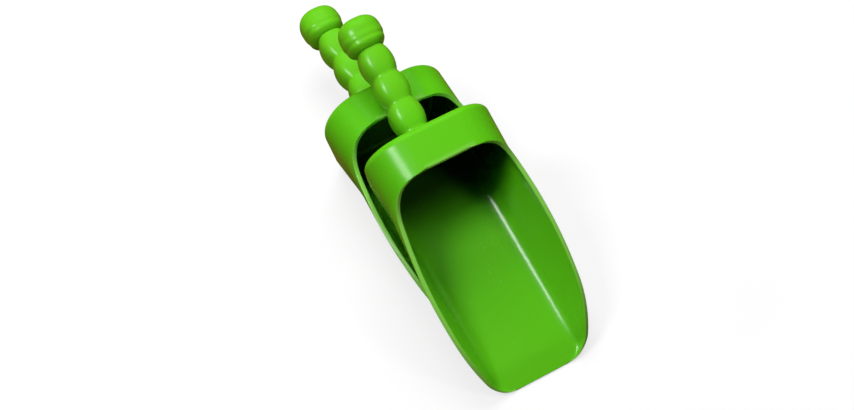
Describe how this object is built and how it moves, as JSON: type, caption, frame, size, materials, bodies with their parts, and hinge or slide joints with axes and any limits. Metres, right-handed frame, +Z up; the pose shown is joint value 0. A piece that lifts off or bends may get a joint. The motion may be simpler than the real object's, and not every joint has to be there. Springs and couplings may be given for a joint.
{
  "type": "sand shovel set",
  "caption": "Hooded plastic sand shovels with flared scoops and bulged grips, one laid loosely over the other, for digging and pouring sand.",
  "frame": {"origin": "on the ground, at mid-width of the lower shovel, below the mouth of its hood", "axes": "+X runs forward to the lips, +Z is up, and the handles point to -X"},
  "size_m": [0.2807, 0.0925, 0.1022],
  "materials": {
    "scoop_plastic": "satin moulded polypropylene, leaf green",
    "handle_plastic": "satin moulded polypropylene, leaf green"
  },
  "bodies": {
    "lower_shovel": {"lower_scoop": "scoop_plastic", "lower_grip": "handle_plastic", "lower_end_knob": "handle_plastic"},
    "upper_shovel": {"upper_scoop": "scoop_plastic", "upper_grip": "handle_plastic", "upper_end_knob": "handle_plastic"}
  },
  "joints": [
    {"name": "upper_lift", "type": "slide", "parent": "lower_shovel", "child": "upper_shovel", "axis": [0, 0, 1], "range_m": [0, 0.12]}
  ]
}
